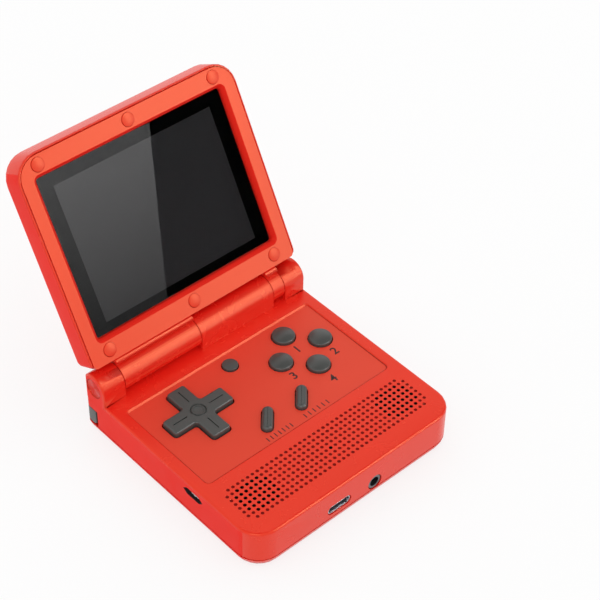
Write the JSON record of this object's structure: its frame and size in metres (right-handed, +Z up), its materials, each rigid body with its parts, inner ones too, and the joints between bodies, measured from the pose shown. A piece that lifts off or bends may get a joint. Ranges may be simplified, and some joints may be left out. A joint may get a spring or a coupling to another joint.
{
  "type": "clamshell handheld game console",
  "caption": "Pocket game console with a hinged screen lid, control cross, action buttons, speaker grille, thumb wheel and shoulder buttons.",
  "frame": {"origin": "middle of the base's underside, on the surface that it stands on", "axes": "+X to the user's right, +Y from the user towards the hinge, +Z up out of the control deck"},
  "size_m": [0.0845, 0.1174, 0.0888],
  "materials": {
    "shell": "fine satin moulded plastic",
    "bezel": "fine satin moulded plastic",
    "lens": "clear with a black printed border",
    "display": "switched-off display",
    "control": "matte grey keys",
    "membrane": "silicone",
    "board": "circuit board",
    "battery": "wrapped cell",
    "black_plastic": "moulded plastic",
    "port_steel": "pressed steel",
    "jack_metal": "dark plated metal",
    "screw_steel": "machined steel"
  },
  "bodies": {
    "base": {"base_top_shell": "shell", "base_bottom_shell": "shell", "battery_door": "shell", "left_hinge_cap": "shell", "right_hinge_cap": "shell", "battery": "battery", "main_board": "board", "left_trigger_board": "board", "right_trigger_board": "board", "usb_socket": "port_steel", "card_socket": "port_steel", "power_switch_case": "port_steel", "headphone_jack": "jack_metal", "hinge_cartridge": "jack_metal", "hinge_pin": "screw_steel", "volume_control_body": "black_plastic", "left_speaker": "black_plastic", "right_speaker": "black_plastic", "dpad_membrane": "membrane", "action_membrane": "membrane", "menu_membrane": "membrane", "select_start_membrane": "membrane", "base_screw_1": "screw_steel", "base_screw_2": "screw_steel", "base_screw_3": "screw_steel", "base_screw_4": "screw_steel"},
    "lid": {"lid_rear_cover": "shell", "lid_bezel": "bezel", "screen_lens": "lens", "lcd_module": "display", "screw_cover_1": "bezel", "screw_cover_2": "bezel", "screw_cover_3": "bezel", "screw_cover_4": "bezel", "screw_cover_5": "bezel", "screw_cover_6": "bezel", "lid_screw_1": "screw_steel", "lid_screw_2": "screw_steel", "lid_screw_3": "screw_steel", "lid_screw_4": "screw_steel", "lid_screw_5": "screw_steel", "lid_screw_6": "screw_steel"},
    "dpad_fulcrum": {"dpad_fulcrum": "black_plastic"},
    "dpad": {"dpad": "control"},
    "button_top": {"button_top": "control"},
    "button_right": {"button_right": "control"},
    "button_bottom": {"button_bottom": "control"},
    "button_left": {"button_left": "control"},
    "menu_button": {"menu_button": "control"},
    "select_button": {"select_button": "control"},
    "start_button": {"start_button": "control"},
    "left_shoulder_button": {"left_shoulder_button": "control"},
    "left_inner_shoulder_button": {"left_inner_shoulder_button": "control"},
    "right_shoulder_button": {"right_shoulder_button": "control"},
    "right_inner_shoulder_button": {"right_inner_shoulder_button": "control"},
    "volume_wheel": {"volume_wheel": "control"},
    "power_switch_knob": {"power_switch_knob": "control"}
  },
  "joints": [
    {"name": "lid_hinge", "type": "hinge", "parent": "base", "child": "lid", "pos_m": [0, 0.03575, 0.0196], "axis": [-1, 0, 0], "range_deg": [-118.6, 46.4]},
    {"name": "dpad_tilt_front_back", "type": "hinge", "parent": "base", "child": "dpad_fulcrum", "pos_m": [-0.02095, 0.0101, 0.0107], "axis": [1, 0, 0], "range_deg": [-2, 2], "stiffness_Nm_per_rad": 0.02},
    {"name": "dpad_tilt_left_right", "type": "hinge", "parent": "dpad_fulcrum", "child": "dpad", "pos_m": [-0.02095, 0.0101, 0.0107], "axis": [0, 1, 0], "range_deg": [-2, 2], "stiffness_Nm_per_rad": 0.02},
    {"name": "button_top_press", "type": "slide", "parent": "base", "child": "button_top", "axis": [0, 0, -1], "range_m": [0, 0.001], "stiffness_N_per_m": 200},
    {"name": "button_right_press", "type": "slide", "parent": "base", "child": "button_right", "axis": [0, 0, -1], "range_m": [0, 0.001], "stiffness_N_per_m": 200},
    {"name": "button_bottom_press", "type": "slide", "parent": "base", "child": "button_bottom", "axis": [0, 0, -1], "range_m": [0, 0.001], "stiffness_N_per_m": 200},
    {"name": "button_left_press", "type": "slide", "parent": "base", "child": "button_left", "axis": [0, 0, -1], "range_m": [0, 0.001], "stiffness_N_per_m": 200},
    {"name": "menu_button_press", "type": "slide", "parent": "base", "child": "menu_button", "axis": [0, 0, -1], "range_m": [0, 0.0006], "stiffness_N_per_m": 200},
    {"name": "select_button_press", "type": "slide", "parent": "base", "child": "select_button", "axis": [0, 0, -1], "range_m": [0, 0.0008], "stiffness_N_per_m": 200},
    {"name": "start_button_press", "type": "slide", "parent": "base", "child": "start_button", "axis": [0, 0, -1], "range_m": [0, 0.0008], "stiffness_N_per_m": 200},
    {"name": "left_shoulder_button_press", "type": "slide", "parent": "base", "child": "left_shoulder_button", "axis": [0, -1, 0], "range_m": [0, 0.0005], "stiffness_N_per_m": 300},
    {"name": "left_inner_shoulder_button_press", "type": "slide", "parent": "base", "child": "left_inner_shoulder_button", "axis": [0, -1, 0], "range_m": [0, 0.0005], "stiffness_N_per_m": 300},
    {"name": "right_shoulder_button_press", "type": "slide", "parent": "base", "child": "right_shoulder_button", "axis": [0, -1, 0], "range_m": [0, 0.0005], "stiffness_N_per_m": 300},
    {"name": "right_inner_shoulder_button_press", "type": "slide", "parent": "base", "child": "right_inner_shoulder_button", "axis": [0, -1, 0], "range_m": [0, 0.0005], "stiffness_N_per_m": 300},
    {"name": "volume_wheel_turn", "type": "hinge", "parent": "base", "child": "volume_wheel", "pos_m": [-0.03463, -0.0124, 0.0111], "axis": [0, 0, 1], "range_deg": [-135, 135]},
    {"name": "power_switch_slide", "type": "slide", "parent": "base", "child": "power_switch_knob", "axis": [0, 1, 0], "range_m": [0, 0.003]}
  ]
}
